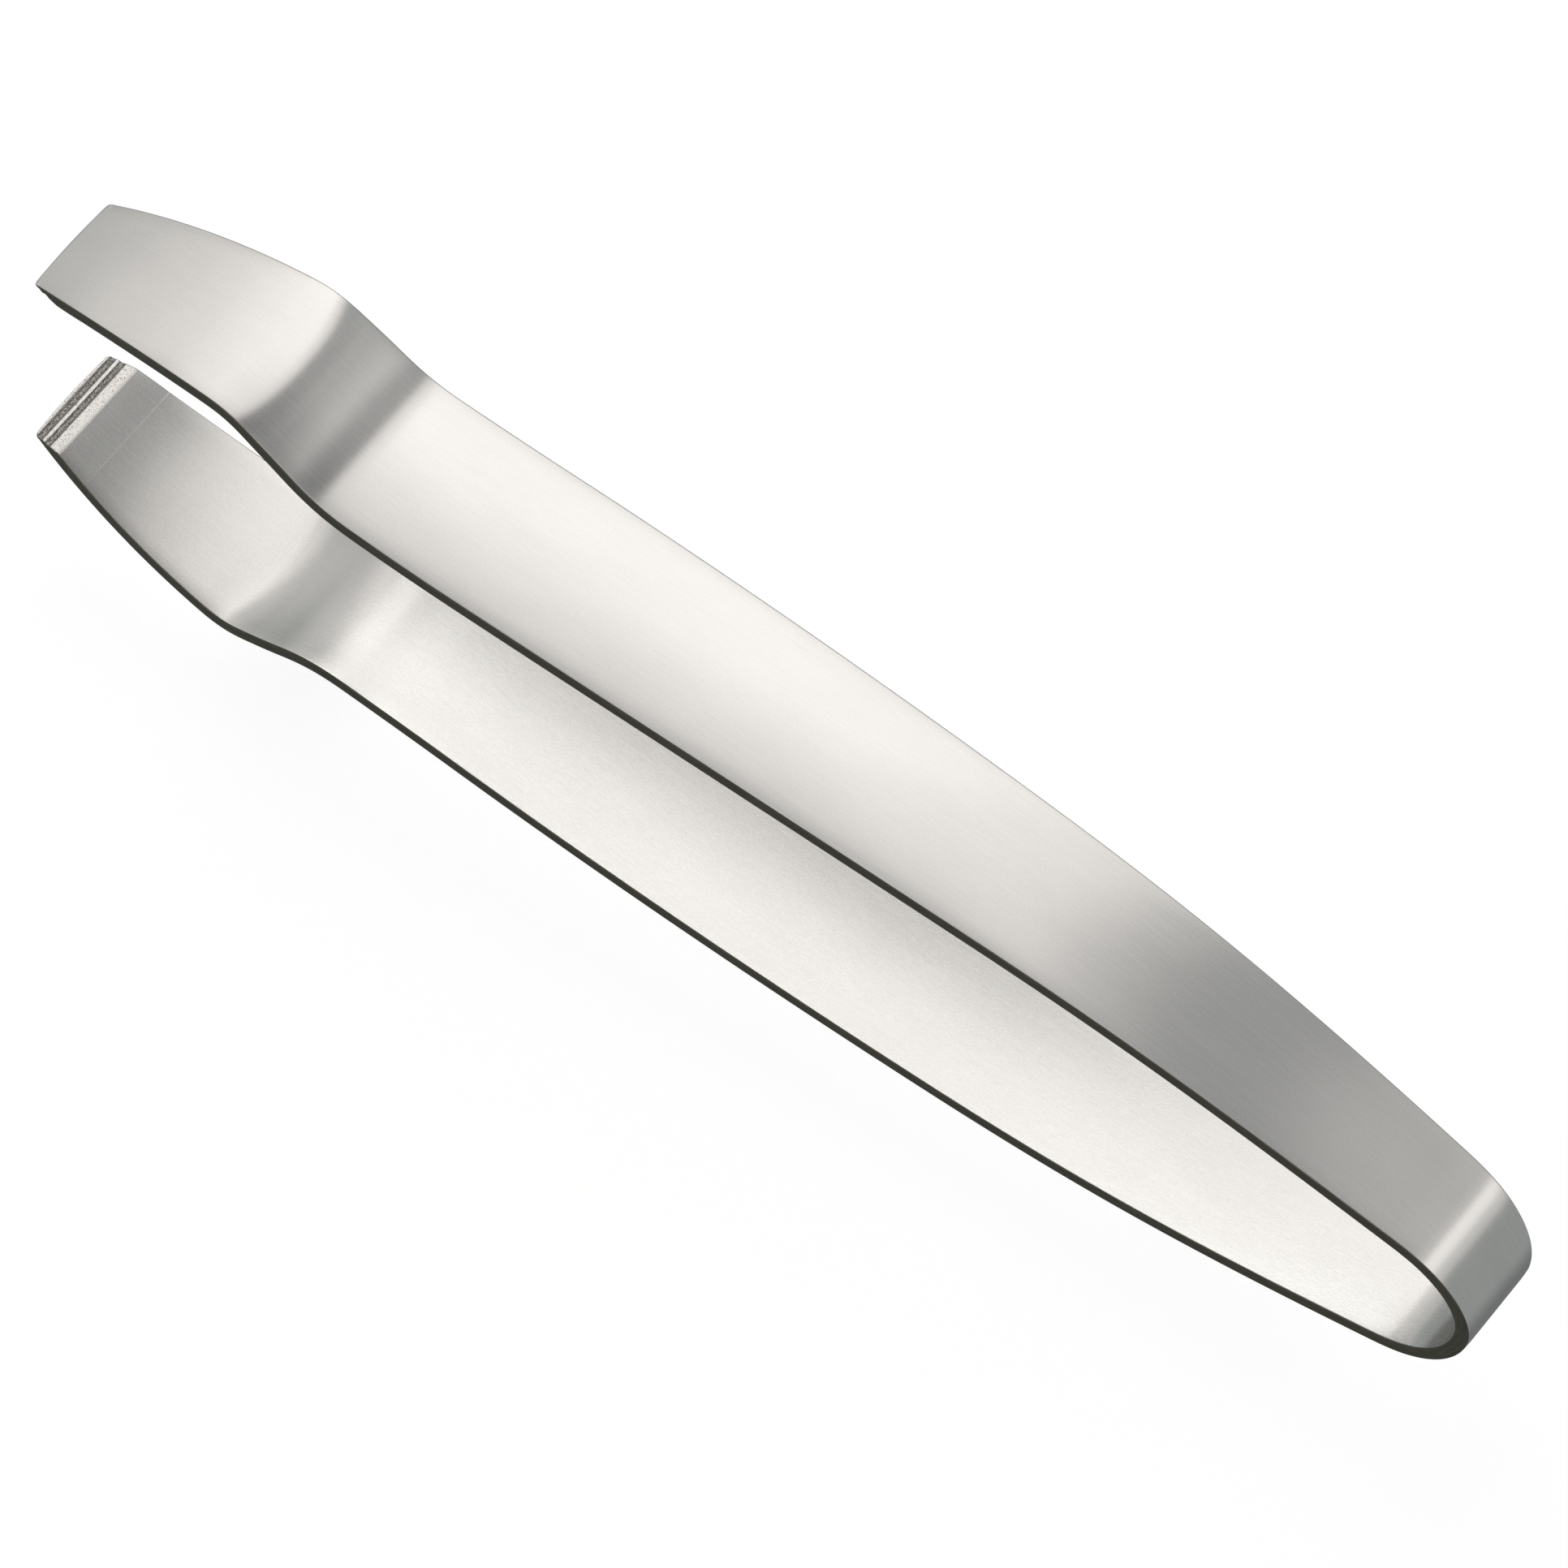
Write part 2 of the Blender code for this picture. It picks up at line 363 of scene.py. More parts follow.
# %% [markdown]
# ## The press
#
# A press bends the strip along its length and leaves its width alone. The bending is a rule: a heading for
# each station, which starts straight up in the middle of the bow and turns towards the jaws. Adding up tiny
# steps along that heading gives the line that the sheet follows. A few spare steps carry the line past the
# tip, so that the last rows of the strip still lie between two of its points.
#
# This is made with Geometry Nodes, because the same tool presses all five lengths, and every bend is a named
# input that can be tried out in the modifier. Simple Deform modifiers would need one object for each bend.
#
# The arms aren't quite flat across. They are crowned, like a tape measure, which stiffens them, while the
# jaws are flat. So the tree holds two lines, one for the strip's edges and one for the middle of its width,
# and where a crowned neck meets a flat jaw the crease comes out curved by itself.

# %% Bends of the strip, in degrees
Bend = namedtuple("Bend", "name start end turn eased")
BOW_ARC = 10.7 * MM
BOW_TURN = 77.5
BOW_RUN_OUT = 16.0
EDGE_BENDS = (
    Bend("Shoulder", 12.0 * MM, 54.0 * MM, 10.0, True),
    Bend("Long Curve", 32.0 * MM, 96.0 * MM, 5.5, False),
    Bend("Neck Lead", 97.0 * MM, 108.0 * MM, -3.5, False),
    Bend("Neck", 106.7 * MM, 114.6 * MM, -27.5, True),
    Bend("Neck Rebound", 113.9 * MM, 116.1 * MM, 2.5, False),
    Bend("Crease", 117.75 * MM, 122.95 * MM, 30.0, True),
    Bend("Jaw Curl", 119.5 * MM, 141.0 * MM, 20.5, False),
)
CROWN_BENDS = (
    Bend("Crown Rise", 12.0 * MM, 20.0 * MM, -1.15, True),
    Bend("Crown Settle", 44.0 * MM, 70.0 * MM, 1.15, False),
)
CREASE_SHIFT = 1.35 * MM
LINE_STEPS = 1412
SPARE_STEPS = 5.0
print("bends:", {bend.name: bend.turn for bend in EDGE_BENDS + CROWN_BENDS})

# %% [markdown]
# The helpers below keep node trees readable in a script. One adds a node with its settings and inputs, and
# one adds a Math node, so that a formula reads almost as it would on paper.

# %% Helpers for node trees


def add(tree, kind, inputs=None, **settings):
    """A new node. Each of its inputs, by name or number, is given a socket to link or a plain value."""
    made = tree.nodes.new(kind)
    for setting, value in settings.items():
        setattr(made, setting, value)
    for key, value in (inputs or {}).items():
        if isinstance(value, bpy.types.NodeSocket):
            tree.links.new(value, made.inputs[key])
        else:
            made.inputs[key].default_value = value
    return made


def sum_of(tree, operation, *values):
    """The result of a Math node on sockets or numbers."""
    return add(tree, "ShaderNodeMath", dict(enumerate(values)), operation=operation).outputs[0]


def turned_share(tree, bend, station, start, end):
    """How much of a bend lies before a station, from 0 to 1, as a Map Range node."""
    ease = "SMOOTHSTEP" if bend.eased else "LINEAR"
    inputs = {"Value": station, "From Min": start, "From Max": end}
    return add(tree, "ShaderNodeMapRange", inputs, interpolation_type=ease).outputs["Result"]


# %% The named inputs of the press
press = bpy.data.node_groups.new("press_strip", "GeometryNodeTree")
press.interface.new_socket("Geometry", in_out="OUTPUT", socket_type="NodeSocketGeometry")
press.interface.new_socket("Geometry", in_out="INPUT", socket_type="NodeSocketGeometry")
press_settings = {}


def press_input(name, kind, value):
    """A named input of the press, with the value that this object is pressed with."""
    socket = press.interface.new_socket(name, in_out="INPUT", socket_type="NodeSocket" + kind)
    press_settings[socket.identifier] = value


press_input("Strip Length", "Float", STRIP_LENGTH)
press_input("Line Steps", "Int", LINE_STEPS)
press_input("Bow Arc", "Float", BOW_ARC)
press_input("Bow Turn", "Float", math.radians(BOW_TURN))
press_input("Bow Run-Out", "Float", math.radians(BOW_RUN_OUT))
for bend in EDGE_BENDS + CROWN_BENDS:
    press_input(bend.name + " Start", "Float", bend.start)
    press_input(bend.name + " End", "Float", bend.end)
    press_input(bend.name + " Turn", "Float", math.radians(bend.turn))
press_input("Crease Shift", "Float", CREASE_SHIFT)
given = add(press, "NodeGroupInput").outputs
print("inputs of the press:", len(press_settings))

# %% The bent line that the sheet follows


def heading_at(station, crowned):
    """The heading at a station, on the line of the strip's edges or on that of its crowned middle."""
    turned = sum_of(press, "MULTIPLY", given["Bow Turn"], station)
    straight = sum_of(press, "DIVIDE", turned, given["Bow Arc"])
    heading = sum_of(press, "SMOOTH_MIN", straight, given["Bow Turn"], given["Bow Run-Out"])
    for bend in EDGE_BENDS + (CROWN_BENDS if crowned else ()):
        start, end = given[bend.name + " Start"], given[bend.name + " End"]
        if crowned and bend.name == "Crease":
            start = sum_of(press, "SUBTRACT", start, given["Crease Shift"])
            end = sum_of(press, "SUBTRACT", end, given["Crease Shift"])
        share = turned_share(press, bend, station, start, end)
        heading = sum_of(press, "MULTIPLY_ADD", share, given[bend.name + " Turn"], heading)
    return heading


def bent_line(crowned):
    """The line that the sheet follows: a straight row of points, moved to the sum of their steps."""
    step = sum_of(press, "DIVIDE", given["Strip Length"], given["Line Steps"])
    count = sum_of(press, "ADD", given["Line Steps"], SPARE_STEPS)
    offset = add(press, "ShaderNodeCombineXYZ", {"X": step}).outputs["Vector"]
    row = add(press, "GeometryNodeMeshLine", {"Count": count, "Offset": offset}).outputs["Mesh"]
    place = add(press, "ShaderNodeSeparateXYZ", {0: add(press, "GeometryNodeInputPosition").outputs[0]})
    halfway = sum_of(press, "MULTIPLY_ADD", step, 0.5, place.outputs["X"])
    heading = heading_at(halfway, crowned)
    back = sum_of(press, "MULTIPLY", sum_of(press, "SINE", heading), sum_of(press, "MULTIPLY", step, -1.0))
    up = sum_of(press, "MULTIPLY", sum_of(press, "COSINE", heading), step)
    move = add(press, "ShaderNodeCombineXYZ", {"X": back, "Z": up}).outputs["Vector"]
    total = add(press, "GeometryNodeAccumulateField", data_type="FLOAT_VECTOR", domain="POINT")
    press.links.new(move, total.inputs["Value"])
    moved = {"Geometry": row, "Position": total.outputs["Trailing"]}
    return add(press, "GeometryNodeSetPosition", moved).outputs["Geometry"], step


def blended(share, none, full):
    """A mix of two vectors in the press."""
    mix = add(press, "ShaderNodeMix", data_type="VECTOR")
    for key, socket in zip((0, 4, 5), (share, none, full)):
        press.links.new(socket, mix.inputs[key])
    return mix.outputs[1]


def place_on(line, step, station):
    """The point of a bent line at a station, between the two nearest points of the row."""
    steps = sum_of(press, "DIVIDE", station, step)
    before = sum_of(press, "FLOOR", steps)
    position = add(press, "GeometryNodeInputPosition").outputs[0]
    ends = []
    for index in (before, sum_of(press, "ADD", before, 1.0)):
        sample = add(press, "GeometryNodeSampleIndex", data_type="FLOAT_VECTOR", domain="POINT")
        press.links.new(line, sample.inputs["Geometry"])
        press.links.new(position, sample.inputs["Value"])
        press.links.new(index, sample.inputs["Index"])
        ends.append(sample.outputs["Value"])
    return blended(sum_of(press, "SUBTRACT", steps, before), *ends)


print("the sheet follows two bent lines of", LINE_STEPS, "steps")

# %% [markdown]
# The sheet is then laid on the lines. A point's station picks its place on both lines, and how far across it
# lies mixes the two. Its depth moves it square off the sheet. The lower side is the same press, turned over.
# The tweezers lie on the lower jaw and the lower arm, so at last the whole strip is tilted and moved there.

# %% The rest of the press: station, crown, thickness and resting place
REST_TILT = 2.3824
REST_MOVE = Vector((67.193, 0.0, 11.943)) * MM

flat = add(press, "ShaderNodeSeparateXYZ", {0: add(press, "GeometryNodeInputPosition").outputs[0]}).outputs
signed_station = sum_of(press, "MULTIPLY", flat["X"], -1.0)
station = sum_of(press, "ABSOLUTE", signed_station)
side = sum_of(press, "SIGN", signed_station)
across = add(press, "GeometryNodeInputNamedAttribute", {"Name": "across"}, data_type="FLOAT").outputs[0]
crown = sum_of(press, "SUBTRACT", 1.0, sum_of(press, "MULTIPLY", across, across))

sheet_places, sheet_outwards = [], []
for crowned in (False, True):
    line, step = bent_line(crowned)
    sheet_places.append(place_on(line, step, station))
    heading = heading_at(station, crowned)
    outward = {"X": sum_of(press, "COSINE", heading), "Z": sum_of(press, "SINE", heading)}
    sheet_outwards.append(add(press, "ShaderNodeCombineXYZ", outward).outputs["Vector"])
place = blended(crown, *sheet_places)
outward = blended(crown, *sheet_outwards)
raised = add(press, "ShaderNodeVectorMath", {0: outward, "Scale": flat["Z"]}, operation="SCALE").outputs[0]
raised = add(press, "ShaderNodeVectorMath", {0: place, 1: raised}, operation="ADD").outputs[0]
raised = add(press, "ShaderNodeSeparateXYZ", {0: raised}).outputs
mirrored = {"X": raised["X"], "Y": flat["Y"], "Z": sum_of(press, "MULTIPLY", raised["Z"], side)}
bent = add(press, "ShaderNodeCombineXYZ", mirrored).outputs["Vector"]

flat_place = add(press, "ShaderNodeCombineXYZ", {"X": signed_station, "Y": flat["Y"], "Z": flat["Z"]})
kept = {"Geometry": given["Geometry"], "Name": "strip_place", "Value": flat_place.outputs["Vector"]}
kept = add(press, "GeometryNodeStoreNamedAttribute", kept, data_type="FLOAT_VECTOR", domain="POINT")
pressed = add(press, "GeometryNodeSetPosition", {"Geometry": kept.outputs["Geometry"], "Position": bent})
at_rest = {"Geometry": pressed.outputs["Geometry"], "Translation": REST_MOVE}
at_rest = add(press, "GeometryNodeTransform", at_rest)
at_rest.inputs["Rotation"].default_value = (0.0, math.radians(REST_TILT), 0.0)
finished = add(press, "GeometryNodeRealizeInstances", {"Geometry": at_rest.outputs["Geometry"]}).outputs[0]
print("nodes in the press:", len(press.nodes))

# %% [markdown]
# ## The grain of the steel
#
# A belt has run along the strip and left fine scratches, all in one direction. They do two things. Seen
# close, they are streaks, a little lighter and darker. Seen from afar, they smear reflections across the
# strip and keep them crisp along it, so a bend in the steel reads as a sharp band from edge to edge.
#
# The streaks are noise that is stretched along the strip. It is read at the place that each point had in
# the flat strip, which the press stored, so the scratches follow every bend. The grain is a node group,
# because all three finishes of the steel have it, each with its own length, width and depth.

# %% The grain that all finishes share
CLOUD_SIZE = (9.0 * MM, 4.0 * MM)
STREAK_DETAIL = 5.0
CLOUD_DETAIL = 4.0
NOISE_ROUGHNESS = 0.62

grain_group = bpy.data.node_groups.new("steel_grain", "ShaderNodeTree")
for name, value in (("Streak Length", 5.0 * MM), ("Streak Width", 0.14 * MM), ("Depth", 0.002 * MM)):
    socket = grain_group.interface.new_socket(name, in_out="INPUT", socket_type="NodeSocketFloat")
    socket.default_value = value
for name, kind in (("Streaks", "Float"), ("Clouds", "Float"), ("Normal", "Vector")):
    grain_group.interface.new_socket(name, in_out="OUTPUT", socket_type="NodeSocket" + kind)


def grain_layer(size, detail):
    """Noise on the flat strip's coordinates, stretched to a size of (along, across)."""
    tree = grain_group
    along, width = size
    strip_place = add(tree, "ShaderNodeAttribute", attribute_name="strip_place").outputs["Vector"]
    stretch = add(tree, "ShaderNodeCombineXYZ", {"X": along, "Y": width, "Z": width}).outputs["Vector"]
    scaled = add(tree, "ShaderNodeVectorMath", {0: strip_place, 1: stretch}, operation="DIVIDE").outputs[0]
    noise = {"Vector": scaled, "Scale": 1.0, "Detail": detail, "Roughness": NOISE_ROUGHNESS}
    return add(tree, "ShaderNodeTexNoise", noise).outputs[0]


grain_in = add(grain_group, "NodeGroupInput").outputs
streaks = grain_layer((grain_in["Streak Length"], grain_in["Streak Width"]), STREAK_DETAIL)
clouds = grain_layer(CLOUD_SIZE, CLOUD_DETAIL)
relief = {"Height": streaks, "Distance": grain_in["Depth"], "Strength": 1.0}
relief = add(grain_group, "ShaderNodeBump", relief).outputs["Normal"]
add(grain_group, "NodeGroupOutput", {"Streaks": streaks, "Clouds": clouds, "Normal": relief})
print("nodes in the grain:", len(grain_group.nodes))

# %% Helpers for the finishes
NOISE_LOW, NOISE_HIGH = 0.3, 0.7


def spread(tree, value, low, high, start=NOISE_LOW, end=NOISE_HIGH):
    """A value from start to end, spread over low to high. Left out, the two are the usual reach of noise."""
    inputs = {"Value": value, "From Min": start, "From Max": end, "To Min": low, "To Max": high}
    return add(tree, "ShaderNodeMapRange", inputs).outputs["Result"]


def colour_mix(tree, share, one, other):
    """A mix of two colours, each a socket or a plain colour."""
    return add(tree, "ShaderNodeMix", {0: share, 6: one, 7: other}, data_type="RGBA").outputs[2]


def new_steel(name, streak_length, streak_width, depth):
    """A metal material with its own grain: (material, tree, shader, outputs of the grain group)."""
    material = bpy.data.materials.new(name)
    material.use_nodes = True
    tree = material.node_tree
    shader = tree.nodes["Principled BSDF"]
    shader.inputs["Metallic"].default_value = 1.0
    settings = {"Streak Length": streak_length, "Streak Width": streak_width, "Depth": depth}
    grain = add(tree, "ShaderNodeGroup", node_tree=grain_group)
    for key, value in settings.items():
        grain.inputs[key].default_value = value
    tree.links.new(grain.outputs["Normal"], shader.inputs["Normal"])
    print(name, {key: f"{value / MM:g} mm" for key, value in settings.items()})
    return material, tree, shader, grain.outputs


# %% [markdown]
# ## Brushed faces
#
# Nearly all that one sees is the belt's finish. Its colour changes very little: streaks and wide soft clouds
# between two greys of steel, a touch warm. What makes it look brushed is that it's anisotropic. The tangent
# comes from the UV map, whose U runs along the strip, so the smear turns with every bend. A Glossy shader
# could do the same, but the Principled shader keeps one set of values that other programs can read.

# %% Brushed faces
LIGHT_STEEL = (0.700, 0.679, 0.662, 1.0)
DARK_STEEL = (0.626, 0.609, 0.595, 1.0)
STREAK_SHARE = 0.65
BRUSHED_ROUGHNESS = (0.26, 0.29)
BRUSHED_SMEAR = 0.8
SMEAR_ACROSS = 0.25

brushed, tree, shader, grain = new_steel("brushed_steel", 7.0 * MM, 0.11 * MM, 0.0008 * MM)
cloud_part = sum_of(tree, "MULTIPLY", grain["Clouds"], 1.0 - STREAK_SHARE)
tone = sum_of(tree, "MULTIPLY_ADD", grain["Streaks"], STREAK_SHARE, cloud_part)
steel_colour = colour_mix(tree, spread(tree, tone, 0.0, 1.0), DARK_STEEL, LIGHT_STEEL)
tree.links.new(steel_colour, shader.inputs["Base Color"])
tree.links.new(spread(tree, grain["Streaks"], *BRUSHED_ROUGHNESS), shader.inputs["Roughness"])
shader.inputs["Anisotropic"].default_value = BRUSHED_SMEAR
shader.inputs["Anisotropic Rotation"].default_value = SMEAR_ACROSS
along_strip = add(tree, "ShaderNodeTangent", direction_type="UV_MAP", uv_map="strip_map").outputs[0]
tree.links.new(along_strip, shader.inputs["Tangent"])

# %% [markdown]
# ## Cut edges
#
# No belt reaches the edges. They keep the dark, slightly olive skin of the cut, dulled by the tumbling drum,
# so each arm is drawn with a dark line, which runs on as a hair's breadth round the outer edge of the tip.
# The finish is a much darker metal colour with a dull, even gloss. It could be black paint, but a metal stays
# lively where it catches the light at the tumbled corners.

# %% Cut edges
EDGE_DARK = (0.086, 0.079, 0.062, 1.0)
EDGE_LIGHT = (0.166, 0.149, 0.118, 1.0)
EDGE_ROUGHNESS = (0.42, 0.54)

cut, tree, shader, grain = new_steel("tumbled_cut_edge", 3.0 * MM, 0.12 * MM, 0.004 * MM)
edge_colour = colour_mix(tree, spread(tree, grain["Streaks"], 0.0, 1.0), EDGE_DARK, EDGE_LIGHT)
tree.links.new(edge_colour, shader.inputs["Base Color"])
tree.links.new(spread(tree, grain["Clouds"], *EDGE_ROUGHNESS), shader.inputs["Roughness"])

# %% [markdown]
# ## The ground bevel
#
# The bevel is ground last, and it is the brightest place on the strip: its lands are painted a lighter steel
# than the rest, a painted highlight that fades in over the first half millimetre of the bevel, where its
# slope begins, and dark pits are scattered over them. Its grooves are left rough and painted dark as shade,
# with lighter specks in that painted shade. The press carried the depth of the groove along as an attribute,
# so the painted shade lies exactly in the grooves, and the grain breaks up its borders. A separate colour for
# each groove would end in a ruled line instead.

# %% The ground bevel
# LAND_HIGHLIGHT is a painted highlight on the lands of the bevel; it fades in from the plainer LAND_START
# where the bevel begins.
LAND_HIGHLIGHT = (0.80, 0.772, 0.75, 1.0)
LAND_SPECK = (0.26, 0.22, 0.19, 1.0)
LAND_START = (0.63, 0.61, 0.59, 1.0)
LAND_START_LENGTH = 0.45 * MM
SPECKS = (0.40, 0.45)
# The grooves are painted dark as shade, with lighter specks in the painted shade.
GROOVE_SHADE_COLOUR = (0.075, 0.072, 0.066, 1.0)
GROOVE_SPECK_COLOUR = (0.50, 0.475, 0.45, 1.0)
GROOVE_SPECKS = (0.42, 0.60)
SHADE_RAGGEDNESS = 0.3
SHADE_BORDER = (0.05, 0.40)
GROUND_ROUGHNESS = (0.3, 0.5)

ground, tree, shader, grain = new_steel("ground_bevel", 0.13 * MM, 0.11 * MM, 0.03 * MM)
groove = add(tree, "ShaderNodeAttribute", attribute_name="groove").outputs["Fac"]
# The painted shade of the grooves follows their depth, and the grain makes its border ragged.
ragged = spread(tree, grain["Streaks"], -SHADE_RAGGEDNESS, SHADE_RAGGEDNESS)
groove_shade_share = spread(tree, sum_of(tree, "ADD", groove, ragged), 0.0, 1.0, *SHADE_BORDER)
land = colour_mix(tree, spread(tree, grain["Streaks"], 1.0, 0.0, *SPECKS), LAND_HIGHLIGHT, LAND_SPECK)
along = add(tree, "ShaderNodeAttribute", attribute_name="strip_place").outputs["Vector"]
along = sum_of(tree, "ABSOLUTE", add(tree, "ShaderNodeSeparateXYZ", {0: along}).outputs["X"])
bevel_start = STRIP_LENGTH - BEVEL_LENGTH
# The painted highlight on the lands fades in over the first part of the bevel.
bevel_start = spread(tree, along, 0.0, 1.0, bevel_start, bevel_start + LAND_START_LENGTH)
land = colour_mix(tree, bevel_start, LAND_START, land)
# The colour of the painted shade in the grooves, with lighter specks in it.
shaded_groove_colour = colour_mix(tree, spread(tree, grain["Streaks"], 0.0, 1.0, *GROOVE_SPECKS), GROOVE_SHADE_COLOUR, GROOVE_SPECK_COLOUR)
tree.links.new(colour_mix(tree, groove_shade_share, land, shaded_groove_colour), shader.inputs["Base Color"])
tree.links.new(spread(tree, grain["Streaks"], *GROUND_ROUGHNESS), shader.inputs["Roughness"])

# %% [markdown]
# ## Finishes in the press
#
# The last nodes of the press give each face its finish, from the number that the flat blank carried. Set
# Material nodes do this after Realize Instances, so the finishes end up on real faces. Each length is then
# pressed by the modifier and turned into a plain mesh, and the modifier is taken off again.

# %% Give the finishes to the press and press the five lengths
SAME_NUMBER = 0.1

surface = add(press, "GeometryNodeSetMaterial", {"Geometry": finished, "Material": brushed}).outputs[0]
finish = add(press, "GeometryNodeInputNamedAttribute", {"Name": "finish"}, data_type="INT").outputs[0]
for number, material in ((CUT_EDGE, cut), (BEVEL, ground)):
    chosen = sum_of(press, "COMPARE", finish, float(number), SAME_NUMBER)
    inputs = {"Geometry": surface, "Selection": chosen, "Material": material}
    surface = add(press, "GeometryNodeSetMaterial", inputs).outputs[0]
add(press, "NodeGroupOutput", {"Geometry": surface})


def press_length(name):
    """One length of the strip, pressed and turned into a plain mesh."""
    piece = bpy.data.objects.new(name, blanks[name])
    bpy.context.scene.collection.objects.link(piece)
    modifier = piece.modifiers.new("Press", "NODES")
    modifier.node_group = press
    for identifier, value in press_settings.items():
        modifier[identifier] = value
    evaluated = piece.evaluated_get(bpy.context.evaluated_depsgraph_get())
    mesh = bpy.data.meshes.new_from_object(evaluated)
    piece.modifiers.remove(modifier)
    piece.data = mesh
    return piece


def mesh_box(mesh):
    places = np.array([vertex.co for vertex in mesh.vertices])
    return places.min(0), places.max(0)


pieces = {name: press_length(name) for name in blanks}
for name, piece in pieces.items():
    low, high = mesh_box(piece.data)
    print(f"{name}: {in_mm(low)} to {in_mm(high)} mm, {len(piece.data.materials)} finishes")

# %% [markdown]
# ## How the strip moves
#
# Squeezing bends the bow, and the arms swing in with their jaws. The bow and the two jaws each ride on one
# body. The arms are only laid in place and ride on no body, so they don't bend with the spring.

# %% Let the bow and the jaws ride on their bodies
ROLES = {
    "pressed_bow": ("spring_bow", "bow", "bow_steel"),
    "pressed_upper_arm": ("upper_arm", "upper", "arm_steel"),
    "pressed_upper_jaw": ("upper_jaw", "upper", "jaw_steel"),
    "pressed_lower_arm": ("lower_arm", "lower", "arm_steel"),
    "pressed_lower_jaw": ("lower_jaw", "lower", "jaw_steel"),
}


for name, (node, body, slot) in ROLES.items():
    piece = pieces[name]
    if node.endswith("_arm"):
        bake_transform(piece)
    else:
        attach(piece, body)
    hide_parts(node)
    print(f"{name} stands for {node} on {body}")

# %% [markdown]
# ## The floor
#
# The photograph shows the tweezers cut out on white, so the floor is a wide sheet of pale paper that looks
# almost white. Most of that white is a glow that the camera alone sees, as on a light table. The paper is
# left out of the reflections, so that the steel shows the soft boxes and the room. It lies a few millimetres
# under the strip, because the lower arm can be sprung open, and then it swings down past its resting place.

# %% The floor
FLOOR_SIZE = 6.0
FLOOR_COLOUR = (0.86, 0.86, 0.86, 1.0)
FLOOR_ROUGHNESS = 0.9
FLOOR_GLOW = 1.16
FLOOR_GLOW_SHARE = 0.72
SPRING_ROOM = 3.3 * MM

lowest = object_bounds()[0].z
bpy.ops.mesh.primitive_plane_add(size=FLOOR_SIZE, location=(0.0, 0.0, lowest - SPRING_ROOM))
floor = bpy.context.object
floor.name = "floor"
floor.visible_glossy = False
paper = bpy.data.materials.new("pale_floor")
paper.use_nodes = True
tree = paper.node_tree
shader = tree.nodes["Principled BSDF"]
shader.inputs["Base Color"].default_value = FLOOR_COLOUR
shader.inputs["Roughness"].default_value = FLOOR_ROUGHNESS
shader.inputs["Specular IOR Level"].default_value = 0.0
lit_from_below = add(tree, "ShaderNodeEmission", {"Strength": FLOOR_GLOW})
seen = add(tree, "ShaderNodeLightPath").outputs["Is Camera Ray"]
share = sum_of(tree, "MULTIPLY", seen, FLOOR_GLOW_SHARE)
mixed = add(tree, "ShaderNodeMixShader", {0: share, 1: shader.outputs[0], 2: lit_from_below.outputs[0]})
tree.links.new(mixed.outputs[0], tree.nodes["Material Output"].inputs["Surface"])
floor.data.materials.append(paper)
print(f"floor at {floor.location.z / MM:.2f} mm")

# %% [markdown]
# ## The lights
#
# Brushed steel shows its lights more than itself. A wide soft box overhead makes the arms bright. It hangs in
# three layers, whose borders don't coincide, so its right border makes a soft change to grey near the bow and
# a quick one at the neck, where the steel turns sharply. Dimmer boxes on the left shade the jaws off towards
# the tip. On the right, two draw the bright line on the bow and three, near and high, lighten the neck. Those
# in front light the strip for anyone who looks from behind.
#
# Each box is an area lamp whose energy is worked out from the brightness of its cloth, so that boxes of any
# size can be compared. Most of the cloth is a little warmer than the room.

# %% Soft boxes
WARM_CLOTH = (1.04, 1.0, 0.966)
WHITE_CLOTH = (0.99, 1.0, 1.0)
Box = namedtuple("Box", "name centre target width height brightness cloth", defaults=(WARM_CLOTH,))
SOFT_BOXES = (
    Box("overhead_box", (-0.096, 0.255, 0.240), (-0.096, 0.255, 0.0), 0.228, 0.54, 0.50),
    Box("overhead_skirt", (-0.2175, 0.51, 0.480), (-0.2175, 0.51, 0.0), 0.545, 1.08, 0.27),
    Box("overhead_core", (-0.105, 0.303, 0.238), (-0.105, 0.303, 0.0), 0.150, 0.445, 0.36, WHITE_CLOTH),
    Box("left_box", (-0.31, 0.15, 0.28), (-0.05, 0.0, 0.03), 0.30, 0.11, 0.64),
    Box("far_left_box", (-0.50, 0.24, 0.24), (-0.05, 0.0, 0.03), 0.36, 0.20, 0.36),
    Box("bow_box", (0.308, 0.137, 0.211), (0.067, 0.137, 0.02), 0.36, 0.07, 0.50),
    Box("wide_bow_box", (0.318, 0.137, 0.187), (0.067, 0.137, 0.02), 0.36, 0.155, 0.40),
    Box("right_box", (0.1645, 0.24, 0.240), (0.1645, 0.24, 0.0), 0.121, 0.42, 0.22),
    Box("far_right_box", (0.93, 0.72, 1.0), (0.93, 0.72, 0.0), 0.38, 1.66, 0.28),
    Box("high_right_box", (0.51, 0.85, 1.0), (0.51, 0.85, 0.0), 0.36, 1.40, 0.08),
    Box("front_box", (0.0, -0.60, 0.32), (0.0, 0.0, 0.02), 0.50, 0.30, 0.9),
    Box("front_top_box", (-0.05, -0.32, 0.38), (-0.05, -0.32, 0.0), 0.20, 0.26, 0.6),
    Box("front_right_box", (0.52, -0.60, 0.28), (0.0, 0.0, 0.02), 0.36, 0.24, 0.7),
)


